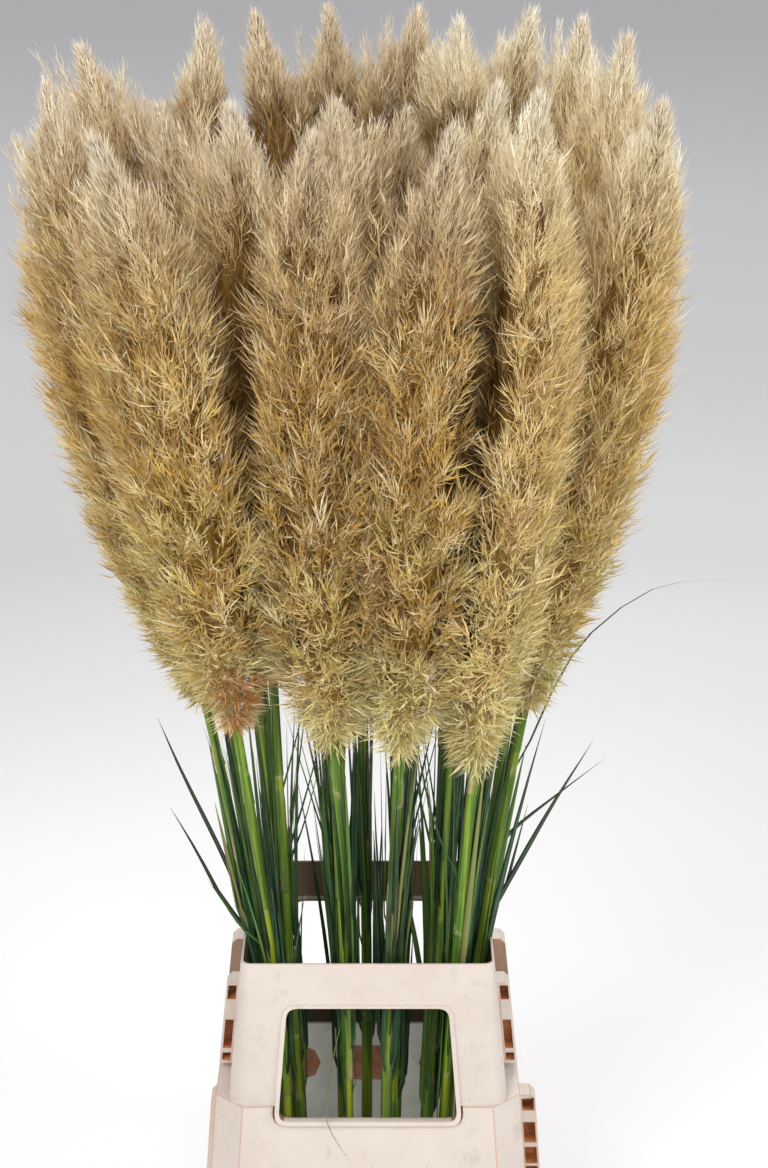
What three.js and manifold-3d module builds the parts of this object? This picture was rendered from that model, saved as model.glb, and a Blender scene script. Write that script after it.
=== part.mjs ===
// Cut pampas grass in a two-piece plastic flower bucket. Millimetres, +Z up, front towards -Y.
// The origin is the centre of the bucket's foot, on the surface that it stands on.
//
// Every stem follows one curve: from its foot on the bucket's floor, past the collar's mouth, to
// the tip of its plume. All rings on a stem and on its plume lie in level planes, so the space
// between neighbours is shared out plane by plane.

import * as THREE from 'three';
import { mergeVertices } from 'three/addons/utils/BufferGeometryUtils.js';
import Module from 'manifold-3d';

// ---- Driving dimensions ----

const SEAT_GAP = 0.3; // between pieces that touch

const BUCKET = {
  height: 325,
  wall: 3.5,
  floor: 4,
  footHalf: [142, 142], // outside of the wall, at the floor
  rimHalf: [157.5, 157.5], // outside of the wall, at the rim
  chamfer: 26,
};

const SKIRT = {
  bottom: 165, // height of its lower edge
  thickness: 3.5,
  ledge: 4,
  rimHalf: [180, 168],
  edgeHalf: [191.4, 179.4],
  chamfer: 33,
  ribs: [-56, 56], // stiffening ribs between the wall and the skirt, on all four sides
};

const WALL_HOLES = { height: 213, roundRadius: 24, roundAt: 88, slotHalf: 44, innerY: 125, outerY: 166 };

const COLLAR = {
  top: 500,
  wall: 3,
  seatHalf: [164.5, 166], // outside, where it stands on the bucket
  mouthHalf: [147.5, 148.5], // outside, at the mouth
  seatCorner: 24,
  mouthCorner: 12,
};

const WINDOW = { bottom: 309, top: 446, bottomHalf: 105, topHalf: 94, corner: 12 };
const LIP = { width: 5.5, depth: 12, proud: 6.5, leanDeg: 8 };
const NOTCH_GAP = 2; // room for the lip in the bucket's end walls

// Stacking wings: upright ribs with pockets that are open to the front or the back.
const WING = { depth: 30, pocketDepth: 24, skin: 3, round: 6, at: 60 };
const COLLAR_WING = { from: 333, to: 440, reach: 16, pockets: [[337, 347], [353, 391], [418, 436]] };
const BUCKET_WING = { from: 170, to: 289, reach: 20, pockets: [[174, 192], [196, 218], [225, 252], [269, 284]] };
const BUCKET_RAIL = { from: 170, to: 289, reach: 8, pockets: [] }; // plain, on the left side

const WATER = { level: 70, gap: 0.5 };

const CULM = { footRadius: 6.6, neckRadius: 4.4, sides: 6, sheathSwell: 1.1, nodes: [365, 590] };
const LEAF = { perStem: 2, width: 7, thickness: 1.3, steps: 6, tries: 400 };

const PLUME = { rows: 19, sides: 7, reach: 102, core: 0.4, rise: 62, gap: 3 };

const COLOURS = { plastic: '#ecdfd3', water: '#9fb3ac', stem: '#6f8f35', plume: '#b99c6b' };

const SEED = 20;

// One entry per stem: where it crosses the collar's mouth, the tip of its plume, and the height
// at which the plume begins. Each bunch runs from its front row to its back row.
const BUNCHES = {
  left: [
    { mouth: [-112, -118], tip: [-250, -270, 1470], base: 800 },
    { mouth: [-136, -66], tip: [-345, -130, 1500], base: 800 },
    { mouth: [-94, -78], tip: [-130, -170, 1480], base: 840 },
    { mouth: [-136, 8], tip: [-305, 60, 1520], base: 860 },
    { mouth: [-100, -8], tip: [-220, 10, 1460], base: 900 },
    { mouth: [-118, 80], tip: [-210, 240, 1530], base: 880 },
  ],
  middle: [
    { mouth: [-28, -120], tip: [-70, -270, 1470], base: 775 },
    { mouth: [26, -120], tip: [80, -280, 1480], base: 765 },
    { mouth: [-30, -50], tip: [-35, -120, 1480], base: 860 },
    { mouth: [34, -40], tip: [35, -60, 1465], base: 880 },
    { mouth: [-40, 50], tip: [-125, 250, 1540], base: 880 },
    { mouth: [-4, 95], tip: [-45, 300, 1545], base: 860 },
    { mouth: [40, 55], tip: [40, 250, 1545], base: 880 },
  ],
  right: [
    { mouth: [104, -120], tip: [185, -250, 1510], base: 745 },
    { mouth: [84, -56], tip: [130, -110, 1500], base: 840 },
    { mouth: [136, -66], tip: [328, -90, 1480], base: 790 },
    { mouth: [136, 10], tip: [305, 90, 1530], base: 850 },
    { mouth: [122, 84], tip: [265, 235, 1535], base: 880 },
    { mouth: [84, 20], tip: [115, 170, 1540], base: 900 },
    { mouth: [88, 92], tip: [180, 285, 1540], base: 870 },
  ],
};

// The feet stand closer together than the stems do at the mouth.
const FOOT_PULL = [0.74, 0.66];

// Blades that reach out of the bunches: the stem, the root's height on it, then the way to the tip.
const REACHING_BLADES = [
  {
    bunch: 'left', stem: 1, root: 505, width: 4.5,
    path: [[-168, -76, 600], [-214, -82, 710], [-241, -84, 780]],
  },
  {
    bunch: 'left', stem: 0, root: 500, width: 4,
    path: [[-146, -124, 535], [-170, -128, 575], [-186, -130, 600]],
  },
  {
    bunch: 'right', stem: 2, root: 510, width: 4.5,
    path: [[170, -66, 575], [215, -64, 662], [262, -62, 744]],
  },
  {
    bunch: 'right', stem: 3, root: 560, width: 4.5,
    path: [[176, 2, 606], [228, -8, 656], [280, -18, 704]],
  },
  {
    bunch: 'right', stem: 3, root: 640, width: 2.6,
    path: [[186, 8, 700], [226, 2, 800], [262, -2, 856], [320, -6, 905], [376, -8, 922], [452, -10, 924]],
  },
];

// ---- Solids ----

const wasm = await Module();
wasm.setup();

function toSolid(geometry) {
  const bare = geometry.clone();
  bare.deleteAttribute('normal');
  bare.deleteAttribute('uv');
  const merged = mergeVertices(bare);
  const vertProperties = new Float32Array(merged.attributes.position.array);
  const triVerts = new Uint32Array(merged.index.array);
  return new wasm.Manifold(new wasm.Mesh({ numProp: 3, vertProperties, triVerts }));
}

function toGeometry(solid) {
  const mesh = solid.getMesh();
  const geometry = new THREE.BufferGeometry();
  geometry.setAttribute('position', new THREE.BufferAttribute(mesh.vertProperties, 3));
  geometry.setIndex(new THREE.BufferAttribute(mesh.triVerts, 1));
  return geometry;
}

function joined(solids) {
  return solids.reduce((sum, solid) => sum.add(solid));
}

function indexedGeometry(points, triangles) {
  const geometry = new THREE.BufferGeometry();
  geometry.setFromPoints(points);
  geometry.setIndex(triangles.flat());
  return geometry;
}

// A closed skin over rings of points. Each ring turns anticlockwise seen from the last ring.
function loft(rings) {
  const count = rings[0].length;
  const last = (rings.length - 1) * count;
  const triangles = [];
  for (let row = 0; row < rings.length - 1; row += 1) {
    for (let i = 0; i < count; i += 1) {
      const a = row * count + i;
      const b = row * count + ((i + 1) % count);
      triangles.push([a, b, b + count], [a, b + count, a + count]);
    }
  }
  for (let i = 1; i < count - 1; i += 1) {
    triangles.push([0, i + 1, i], [last, last + i, last + i + 1]);
  }
  return indexedGeometry(rings.flat(), triangles);
}

// A level ring: a rectangle whose corners are rounded in `steps` steps, or chamfered in one.
function cornerRing([halfX, halfY], radius, z, steps) {
  const quadrants = [[1, 1], [-1, 1], [-1, -1], [1, -1]];
  return quadrants.flatMap(([signX, signY], quadrant) =>
    Array.from({ length: steps + 1 }, (_, step) => {
      const angle = (quadrant + step / steps) * (Math.PI / 2);
      const x = signX * (halfX - radius) + radius * Math.cos(angle);
      const y = signY * (halfY - radius) + radius * Math.sin(angle);
      return new THREE.Vector3(x, y, z);
    }),
  );
}

function circleRing(centre, radius, sides, z) {
  return Array.from({ length: sides }, (_, i) => {
    const angle = (i / sides) * Math.PI * 2;
    return new THREE.Vector3(centre.x + radius * Math.cos(angle), centre.y + radius * Math.sin(angle), z);
  });
}

// A solid with an outline in X and Z, from yFrom to yTo.
function prismAlongY(shape, yFrom, yTo) {
  const geometry = new THREE.ExtrudeGeometry(shape, {
    depth: yTo - yFrom,
    bevelEnabled: false,
    curveSegments: 4,
  });
  geometry.rotateX(Math.PI / 2);
  geometry.translate(0, yTo, 0);
  return geometry;
}

function polygon(points) {
  return new THREE.Shape(points.map(([x, z]) => new THREE.Vector2(x, z)));
}

function shrink([halfX, halfY], by) {
  return [halfX - by, halfY - by];
}

const mix = THREE.MathUtils.lerp;

function mixHalf(low, high, share) {
  return [mix(low[0], high[0], share), mix(low[1], high[1], share)];
}

// ---- Container ----

// The window's outline, grown by a margin on every side.
function windowShape(grow) {
  const low = WINDOW.bottom - grow;
  const high = WINDOW.top + grow;
  const lowHalf = WINDOW.bottomHalf + grow;
  const highHalf = WINDOW.topHalf + grow;
  const radius = WINDOW.corner + grow * 0.6;
  const slant = ((lowHalf - highHalf) / (high - low)) * radius;
  const shape = new THREE.Shape();
  shape.moveTo(-lowHalf + radius, low);
  shape.lineTo(lowHalf - radius, low);
  shape.quadraticCurveTo(lowHalf, low, lowHalf - slant, low + radius);
  shape.lineTo(highHalf + slant, high - radius);
  shape.quadraticCurveTo(highHalf, high, highHalf - radius, high);
  shape.lineTo(-highHalf + radius, high);
  shape.quadraticCurveTo(-highHalf, high, -highHalf - slant, high - radius);
  shape.lineTo(-lowHalf + slant, low + radius);
  shape.quadraticCurveTo(-lowHalf, low, -lowHalf + radius, low);
  return shape;
}

// One upright wing with its pockets, on the side wall whose half-width at a height is halfAt.
function wing(spec, halfAt, side, end) {
  const { from, to, reach, pockets } = spec;
  const { depth, pocketDepth, skin, round, at } = WING;
  const outline = polygon([
    [side * (halfAt(from) - 1.5), from],
    [side * (halfAt(from) + reach), from],
    [side * (halfAt(to) + reach), to - round],
    [side * (halfAt(to) + reach - round), to],
    [side * (halfAt(to) - 1.5), to],
  ]);
  const near = end * (at + depth / 2);
  const far = end * (at - depth / 2);
  const pocketEnd = near - end * pocketDepth;
  const body = toSolid(prismAlongY(outline, Math.min(near, far), Math.max(near, far)));
  return pockets.reduce((rest, [low, high]) => {
    const hollow = polygon([
      [side * (halfAt(low) + skin), low],
      [side * (halfAt(low) + reach - skin), low],
      [side * (halfAt(high) + reach - skin), high],
      [side * (halfAt(high) + skin), high],
    ]);
    const yFrom = Math.min(near + end, pocketEnd);
    const yTo = Math.max(near + end, pocketEnd);
    return rest.subtract(toSolid(prismAlongY(hollow, yFrom, yTo)));
  }, body);
}

function slabAcross(at, alongX) {
  const length = 2 * SKIRT.edgeHalf[0] + 20;
  const size = alongX ? [length, SKIRT.thickness] : [SKIRT.thickness, length];
  const height = BUCKET.height - SKIRT.bottom - SKIRT.ledge;
  const slab = new THREE.BoxGeometry(size[0], size[1], height);
  slab.translate(alongX ? 0 : at, alongX ? at : 0, SKIRT.bottom + height / 2 + 1);
  return toSolid(slab);
}

// The round holes and the hand slot, in the bucket's inner end walls only.
function wallHoles(end) {
  const { height, roundRadius, roundAt, slotHalf, innerY, outerY } = WALL_HOLES;
  const yFrom = Math.min(end * innerY, end * outerY);
  const yTo = Math.max(end * innerY, end * outerY);
  const hole = (x, half) => {
    const shape = new THREE.Shape();
    shape.absarc(x + half, height, roundRadius, -Math.PI / 2, Math.PI / 2);
    shape.absarc(x - half, height, roundRadius, Math.PI / 2, (Math.PI * 3) / 2);
    return shape;
  };
  const round = (x) => {
    const shape = new THREE.Shape();
    shape.absarc(x, height, roundRadius, 0, Math.PI * 2);
    return shape;
  };
  const shapes = [round(-roundAt), hole(0, slotHalf - roundRadius), round(roundAt)];
  return joined(shapes.map((shape) => toSolid(prismAlongY(shape, yFrom, yTo))));
}

function bucketGeometry() {
  const { height, wall, floor, footHalf, rimHalf, chamfer } = BUCKET;
  const floorShare = floor / height;
  const floorHalf = mixHalf(footHalf, rimHalf, floorShare);
  const overRim = 1;
  const body = toSolid(loft([
    cornerRing(footHalf, chamfer, 0, 1),
    cornerRing(rimHalf, chamfer, height, 1),
  ]));
  const cavity = toSolid(loft([
    cornerRing(shrink(floorHalf, wall), chamfer - wall / 2, floor, 1),
    cornerRing(shrink(rimHalf, wall), chamfer - wall / 2, height + overRim, 1),
  ]));
  const skirtOutside = toSolid(loft([
    cornerRing(SKIRT.edgeHalf, SKIRT.chamfer, SKIRT.bottom, 1),
    cornerRing(SKIRT.rimHalf, SKIRT.chamfer, height, 1),
  ]));
  const { thickness } = SKIRT;
  const skirtInside = toSolid(loft([
    cornerRing(shrink(SKIRT.edgeHalf, thickness), SKIRT.chamfer - thickness / 2, SKIRT.bottom - overRim, 1),
    cornerRing(shrink(SKIRT.rimHalf, thickness), SKIRT.chamfer - thickness / 2, height - SKIRT.ledge, 1),
  ]));
  const ribs = joined(SKIRT.ribs.flatMap((at) => [slabAcross(at, true), slabAcross(at, false)]));
  const skirtDrop = height - SKIRT.bottom;
  const skirtHalf = (z) => mix(SKIRT.edgeHalf[0], SKIRT.rimHalf[0], (z - SKIRT.bottom) / skirtDrop);
  const wings = joined([wing(BUCKET_WING, skirtHalf, 1, -1), wing(BUCKET_RAIL, skirtHalf, -1, -1)]);
  const shell = joined([body, skirtOutside.subtract(skirtInside), ribs.intersect(skirtOutside), wings]);
  const notch = toSolid(prismAlongY(windowShape(LIP.width + NOTCH_GAP), -200, 200));
  const cuts = [cavity, notch, wallHoles(1), wallHoles(-1)];
  return toGeometry(cuts.reduce((rest, cut) => rest.subtract(cut), shell));
}

function collarHalf(z) {
  const share = (z - BUCKET.height) / (COLLAR.top - BUCKET.height);
  return mixHalf(COLLAR.seatHalf, COLLAR.mouthHalf, share);
}

// The rolled lip round one window, proud of the panel and leaning with it.
function windowLip(end) {
  const shape = windowShape(LIP.width);
  shape.holes.push(windowShape(-1));
  const lip = prismAlongY(shape, 0, LIP.depth);
  lip.translate(0, 0, -WINDOW.bottom);
  lip.rotateX(-THREE.MathUtils.degToRad(LIP.leanDeg));
  lip.translate(0, -collarHalf(WINDOW.bottom)[1] - LIP.proud, WINDOW.bottom);
  if (end > 0) {
    lip.rotateZ(Math.PI);
  }
  return toSolid(lip);
}

function collarGeometry() {
  const { top, wall, seatHalf, mouthHalf, seatCorner, mouthCorner } = COLLAR;
  const seat = BUCKET.height + SEAT_GAP;
  const over = 1;
  const outside = toSolid(loft([
    cornerRing(seatHalf, seatCorner, seat, 4),
    cornerRing(mouthHalf, mouthCorner, top, 4),
  ]));
  const inside = toSolid(loft([
    cornerRing(shrink(collarHalf(seat - over), wall), seatCorner - wall, seat - over, 4),
    cornerRing(shrink(collarHalf(top + over), wall), mouthCorner - wall, top + over, 4),
  ]));
  const halfAt = (z) => collarHalf(z)[0];
  const wings = [-1, 1].flatMap((side) => [-1, 1].map((end) => wing(COLLAR_WING, halfAt, side, end)));
  const shell = outside.subtract(inside);
  const opening = toSolid(prismAlongY(windowShape(0), -200, 200));
  return toGeometry(joined([shell, windowLip(-1), windowLip(1), ...wings]).subtract(opening));
}

// ---- Stems ----

const FOOT = BUCKET.floor + SEAT_GAP;

const stems = Object.entries(BUNCHES).flatMap(([bunch, entries]) =>
  entries.map(({ mouth, tip, base }) => {
    const foot = [mouth[0] * FOOT_PULL[0], mouth[1] * FOOT_PULL[1]];
    return { bunch, foot, mouth, tip, base };
  }),
);

function stemOf(bunch, place) {
  return stems.filter((stem) => stem.bunch === bunch)[place];
}

// A cubic with given ends and end slopes, at a share of the way.
function hermite(start, end, startSlope, endSlope, run, share) {
  const s2 = share * share;
  const s3 = s2 * share;
  return start * (2 * s3 - 3 * s2 + 1) + end * (3 * s2 - 2 * s3)
    + run * (startSlope * (s3 - 2 * s2 + share) + endSlope * (s3 - s2));
}

// The middle of a stem, or of its plume, at a height.
function centreAt(stem, z) {
  const { foot, mouth, tip } = stem;
  const rise = COLLAR.top - FOOT;
  const reach = tip[2] - COLLAR.top;
  const at = [0, 1].map((i) => {
    const lower = (mouth[i] - foot[i]) / rise;
    const upper = (tip[i] - mouth[i]) / reach;
    const bend = (lower + upper) / 2;
    if (z <= COLLAR.top) {
      return hermite(foot[i], mouth[i], lower, bend, rise, (z - FOOT) / rise);
    }
    return hermite(mouth[i], tip[i], bend, upper * 1.2, reach, (z - COLLAR.top) / reach);
  });
  return new THREE.Vector3(at[0], at[1], z);
}

function culmRadius(stem, z) {
  return mix(CULM.footRadius, CULM.neckRadius, (z - FOOT) / (stem.base - FOOT));
}

// The culm, with the leaf sheath that swells it above each node.
function culmSolid(stem) {
  const rings = [[FOOT, 0]];
  CULM.nodes.forEach((node) => {
    rings.push([node, 0], [node + 8, CULM.sheathSwell]);
  });
  rings.push([stem.base - 40, CULM.sheathSwell / 2], [stem.base, 0]);
  return toSolid(loft(rings.map(([z, swell]) =>
    circleRing(centreAt(stem, z), culmRadius(stem, z) + swell, CULM.sides, z))));
}

// A blade of three-sided section along a path. Its flat side faces the way it bends.
function bladeSolid(path, width, thickness) {
  const curve = new THREE.CatmullRomCurve3(path);
  const steps = Math.max(LEAF.steps, path.length + 2);
  const rings = Array.from({ length: steps + 1 }, (_, step) => {
    const share = step / steps;
    const point = curve.getPoint(share);
    const tangent = curve.getTangent(share);
    const outward = new THREE.Vector3(path.at(-1).x - path[0].x, path.at(-1).y - path[0].y, 0).normalize();
    const side = new THREE.Vector3().crossVectors(tangent, outward).normalize();
    const normal = new THREE.Vector3().crossVectors(tangent, side);
    const taper = Math.min(1, (1 - share) * 2.2 + 0.16) * Math.min(1, 0.6 + share * 3);
    return [
      point.clone().addScaledVector(side, (width * taper) / 2),
      point.clone().addScaledVector(normal, thickness * (0.55 + 0.45 * taper)),
      point.clone().addScaledVector(side, (-width * taper) / 2),
    ];
  });
  return toSolid(loft(rings));
}

// ---- Leaf blades, drawn until each is clear of everything placed before it ----

function seededRandom(seed) {
  let state = seed;
  return () => {
    state = (state + 0x6d2b79f5) | 0;
    let mixed = Math.imul(state ^ (state >>> 15), 1 | state);
    mixed = (mixed + Math.imul(mixed ^ (mixed >>> 7), 61 | mixed)) ^ mixed;
    return ((mixed ^ (mixed >>> 14)) >>> 0) / 4294967296;
  };
}

const random = seededRandom(SEED);
const between = (low, high) => low + (high - low) * random();

// How far a plume's strands stand out from its middle, by the share of its length.
function plumeReach(share) {
  const peak = 0.481;
  const s = THREE.MathUtils.clamp(share, 0.002, 0.998);
  return (PLUME.reach * s ** 0.42 * (1 - s) ** 0.68) / peak;
}

// The share of that reach that the solid fills: drawn in at the foot and to a slim point on top.
const WAIST = [[0, 0.6], [0.05, 0.75], [0.12, 0.88], [0.35, 1], [0.7, 1], [0.8, 0.9], [0.9, 0.72], [1, 0.5]];

function tuftReach(share) {
  const s = THREE.MathUtils.clamp(share, 0, 1);
  const next = Math.max(1, WAIST.findIndex(([at]) => at >= s));
  const [[from, low], [to, high]] = [WAIST[next - 1], WAIST[next]];
  return plumeReach(share) * mix(low, high, (s - from) / (to - from));
}

function plumeShare(stem, z) {
  return (z - stem.base) / (stem.tip[2] - stem.base);
}

const LEAF_CLEARANCE = 4;
const placedBlades = [];

function clearOfStems(point, own, room) {
  return stems.every((stem) => {
    if (stem === own || point.z > stem.base) {
      return true;
    }
    return centreAt(stem, point.z).distanceTo(point) > culmRadius(stem, point.z) + 2 + room;
  });
}

function clearOfPlumes(point, room) {
  return stems.every((stem) => {
    const share = plumeShare(stem, point.z);
    if (share < -0.02 || share > 1.02) {
      return true;
    }
    return centreAt(stem, point.z).distanceTo(point) > plumeReach(share) + 8 + room;
  });
}

function clearOfWalls(point, room) {
  if (point.z > COLLAR.top + 6) {
    return true;
  }
  const [halfX, halfY] = point.z > BUCKET.height ? collarHalf(point.z) : BUCKET.footHalf;
  const gap = COLLAR.wall + 5 + room;
  return Math.abs(point.x) < halfX - gap && Math.abs(point.y) < halfY - gap;
}

function clearOfBlades(points, room) {
  return placedBlades.every((blade) => {
    const apart = blade.room + room + LEAF_CLEARANCE;
    return points.every((point) => blade.points.every((other) => other.distanceTo(point) > apart));
  });
}

function samples(path) {
  return new THREE.CatmullRomCurve3(path).getSpacedPoints(60);
}

// A blade that leaves its stem at a height and climbs beside the bunch.
function drawBladePath(stem, low, high) {
  const root = between(low, high);
  const height = between(230, 380);
  const turn = between(0, Math.PI * 2);
  const reach = between(12, 70);
  const sway = between(-0.8, 0.8);
  return [0, 0.09, 0.3, 0.55, 0.8, 1].map((share) => {
    const point = centreAt(stem, root + height * share);
    const out = share === 0 ? 0 : 10 + reach * share ** 1.5;
    const angle = turn + sway * share;
    return point.add(new THREE.Vector3(Math.cos(angle) * out, Math.sin(angle) * out, 0));
  });
}

function placeBlade(stem, low, high) {
  const room = LEAF.width / 2;
  for (let tries = 0; tries < LEAF.tries; tries += 1) {
    const path = drawBladePath(stem, low, high);
    const points = samples(path);
    const free = points.slice(9);
    const isClear = free.every((point) => clearOfStems(point, stem, room)
      && clearOfPlumes(point, room) && clearOfWalls(point, room)) && clearOfBlades(free, room);
    if (isClear) {
      placedBlades.push({ points: free, room });
      return bladeSolid(path, LEAF.width, LEAF.thickness);
    }
  }
  return null;
}

function reachingBlade({ bunch, stem, root, width, path }) {
  const start = centreAt(stemOf(bunch, stem), root);
  const points = [start, ...path.map((point) => new THREE.Vector3(...point))];
  placedBlades.push({ points: samples(points).slice(6), room: width / 2 });
  return bladeSolid(points, width, LEAF.thickness);
}

function stemSolids() {
  const reaching = REACHING_BLADES.map((blade) => ({
    stem: stemOf(blade.bunch, blade.stem),
    solid: reachingBlade(blade),
  }));
  return stems.map((stem) => {
    const blades = reaching.filter((blade) => blade.stem === stem).map((blade) => blade.solid);
    for (let i = 0; i < LEAF.perStem; i += 1) {
      const low = 300 + 90 * i;
      const blade = placeBlade(stem, low, low + 110);
      if (blade) {
        blades.push(blade);
      }
    }
    return joined([culmSolid(stem), ...blades]);
  });
}

// ---- Water ----

function waterGeometry() {
  const { level, gap } = WATER;
  const { height, wall, floor, footHalf, rimHalf, chamfer } = BUCKET;
  const ringAt = (z) =>
    cornerRing(shrink(mixHalf(footHalf, rimHalf, z / height), wall + gap), chamfer - wall / 2, z, 1);
  const body = toSolid(loft([ringAt(floor + SEAT_GAP), ringAt(level)]));
  const ringHeights = [floor - 2, level + 2];
  return toGeometry(stems.reduce((rest, stem) => {
    const rings = ringHeights.map((z) =>
      circleRing(centreAt(stem, z), culmRadius(stem, z) + 2 * gap, CULM.sides, z));
    return rest.subtract(toSolid(loft(rings)));
  }, body));
}

// ---- Plumes ----

// The most that a plume may reach at a height and in a direction: each neighbour's side of the
// plane between them stays free, and so does the room round a neighbour that is still a stem.
function freeReach(own, centre, direction, wanted) {
  const step = 1;
  for (let reach = wanted; reach > step; reach -= step) {
    const point = centre.clone().addScaledVector(direction, reach);
    const isFree = stems.every((stem) => {
      if (stem === own || point.z > stem.tip[2] + PLUME.rise) {
        return true;
      }
      const distance = centreAt(stem, point.z).distanceTo(point);
      return point.z > stem.base - PLUME.rise / 2
        ? reach < distance - PLUME.gap
        : reach < (distance - culmRadius(stem, point.z) - PLUME.gap) * 1.4;
    });
    if (isFree) {
      return reach;
    }
  }
  return step;
}

// A slim core under a net of diamonds, with the middle of each diamond drawn up and out into a
// pointed tuft.
function plumeGeometry(stem) {
  const { rows, sides, core, rise } = PLUME;
  const bottom = stem.base + SEAT_GAP;
  const length = stem.tip[2] - bottom;
  const turn = between(0, Math.PI);
  const heightOf = (row) => bottom + (length * row) / rows;
  const directionOf = (place, row) => {
    const angle = turn + ((place + (row % 2) / 2) / sides) * Math.PI * 2;
    return new THREE.Vector3(Math.cos(angle), Math.sin(angle), 0);
  };
  // Tufts stand out almost level at the plume's foot, lean up along it and shorten to its tip.
  const riseAt = (row) => {
    const share = row / rows;
    return rise * (1 - 0.55 * share) * THREE.MathUtils.smoothstep(share, -0.06, 0.2);
  };
  const points = [];
  for (let row = 0; row <= rows; row += 1) {
    const centre = centreAt(stem, heightOf(row));
    const neck = row === 0 ? CULM.neckRadius : 3;
    for (let place = 0; place < sides; place += 1) {
      const direction = directionOf(place, row);
      const above = centreAt(stem, heightOf(row) + riseAt(row));
      const free = Math.min(
        freeReach(stem, centre, direction, tuftReach(row / rows)),
        freeReach(stem, above, direction, tuftReach(row / rows)),
      );
      const radius = row === 0 ? neck : Math.max(neck, free * core);
      points.push(centre.clone().addScaledVector(direction, radius));
    }
  }
  const triangles = [];
  for (let row = 0; row <= rows; row += 1) {
    const shift = row % 2;
    for (let place = 0; place < sides; place += 1) {
      const left = row * sides + place;
      const right = row * sides + ((place + 1) % sides);
      const beside = (place + shift) % sides;
      const below = (row - 1) * sides + beside;
      const above = (row + 1) * sides + beside;
      if (row === 0) {
        triangles.push([left, right, above]);
      } else if (row === rows) {
        triangles.push([left, below, right]);
      } else {
        const height = heightOf(row) + riseAt(row) * between(0.9, 1.1);
        const centre = centreAt(stem, height);
        const direction = directionOf(place + 0.5 + between(-0.1, 0.1), row);
        const wanted = tuftReach(plumeShare(stem, height)) * between(0.9, 1.08) + 4;
        const tuft = centre.addScaledVector(direction, freeReach(stem, centre, direction, wanted));
        const apex = points.push(tuft) - 1;
        triangles.push([left, below, apex], [below, right, apex]);
        triangles.push([right, above, apex], [above, left, apex]);
      }
    }
  }
  const last = rows * sides;
  for (let i = 1; i < sides - 1; i += 1) {
    triangles.push([0, i + 1, i], [last, last + i, last + i + 1]);
  }
  return indexedGeometry(points, triangles);
}

// ---- Assembly ----

function addPiece(group, name, geometry, material) {
  const mesh = new THREE.Mesh(geometry, material.clone());
  mesh.name = name;
  group.add(mesh);
}

const plastic = new THREE.MeshStandardMaterial({ color: COLOURS.plastic, roughness: 0.5, metalness: 0 });
const water = new THREE.MeshStandardMaterial({ color: COLOURS.water, roughness: 0.1, metalness: 0 });
const green = new THREE.MeshStandardMaterial({ color: COLOURS.stem, roughness: 0.5, metalness: 0 });
const straw = new THREE.MeshStandardMaterial({ color: COLOURS.plume, roughness: 0.9, metalness: 0 });

const bouquet = new THREE.Group();
addPiece(bouquet, 'bucket', bucketGeometry(), plastic);
addPiece(bouquet, 'collar', collarGeometry(), plastic);
addPiece(bouquet, 'water', waterGeometry(), water);
stemSolids().forEach((solid, index) => {
  const number = String(index + 1).padStart(2, '0');
  addPiece(bouquet, `stem_${number}`, toGeometry(solid), green);
});
stems.forEach((stem, index) => {
  const number = String(index + 1).padStart(2, '0');
  addPiece(bouquet, `plume_${number}`, plumeGeometry(stem), straw);
});

export default bouquet;
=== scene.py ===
"""Pampas grass in a two-piece flower bucket: finishes, hairs, leaf blades, floor, light, camera.

Tables and shape rules are in millimetres, in the part's own frame. Meshes are in metres.
"""

import math

import bmesh
import bpy
import numpy as np
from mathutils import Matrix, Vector
from mathutils.bvhtree import BVHTree


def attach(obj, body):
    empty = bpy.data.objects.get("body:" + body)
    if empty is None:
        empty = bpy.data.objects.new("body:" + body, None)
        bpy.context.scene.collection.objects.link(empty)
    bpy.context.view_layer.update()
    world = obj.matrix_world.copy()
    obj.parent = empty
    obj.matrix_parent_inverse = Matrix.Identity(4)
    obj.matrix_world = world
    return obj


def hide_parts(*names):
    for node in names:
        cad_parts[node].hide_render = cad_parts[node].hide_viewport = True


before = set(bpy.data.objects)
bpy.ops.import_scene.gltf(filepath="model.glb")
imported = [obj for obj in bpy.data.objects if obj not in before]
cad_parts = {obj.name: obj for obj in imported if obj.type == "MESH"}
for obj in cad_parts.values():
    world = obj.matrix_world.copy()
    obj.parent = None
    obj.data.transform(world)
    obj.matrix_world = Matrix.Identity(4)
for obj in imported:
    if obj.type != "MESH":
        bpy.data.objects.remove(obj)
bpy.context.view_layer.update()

MM = 0.001
GOLDEN_TURN = math.pi * (3 - math.sqrt(5))


# ---- Node trees ----

def arithmetic(operation, swapped=False):
    """A method that adds a Math node."""
    def method(link, other):
        return link.math(operation, *((other, link) if swapped else (link, other)))
    return method


class Link:
    """An output socket. Arithmetic on it adds Math nodes."""

    __add__ = __radd__ = arithmetic("ADD")
    __mul__ = __rmul__ = arithmetic("MULTIPLY")
    __sub__, __rsub__ = arithmetic("SUBTRACT"), arithmetic("SUBTRACT", swapped=True)
    __truediv__, __pow__ = arithmetic("DIVIDE"), arithmetic("POWER")

    def __init__(self, tree, socket):
        self.tree, self.socket = tree, socket

    def math(self, operation, *values, clamp=False):
        inputs = dict(enumerate(values))
        return self.tree.node("ShaderNodeMath", inputs, operation=operation, use_clamp=clamp)

    def clamped(self):
        return self.math("ADD", self, 0.0, clamp=True)

    def band(self, low, high):
        """0 below low, 1 above high, smooth between them. With high below low it falls."""
        inputs = {"Value": self, "From Min": low, "From Max": high}
        return self.tree.node("ShaderNodeMapRange", inputs, interpolation_type="SMOOTHSTEP")


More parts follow.
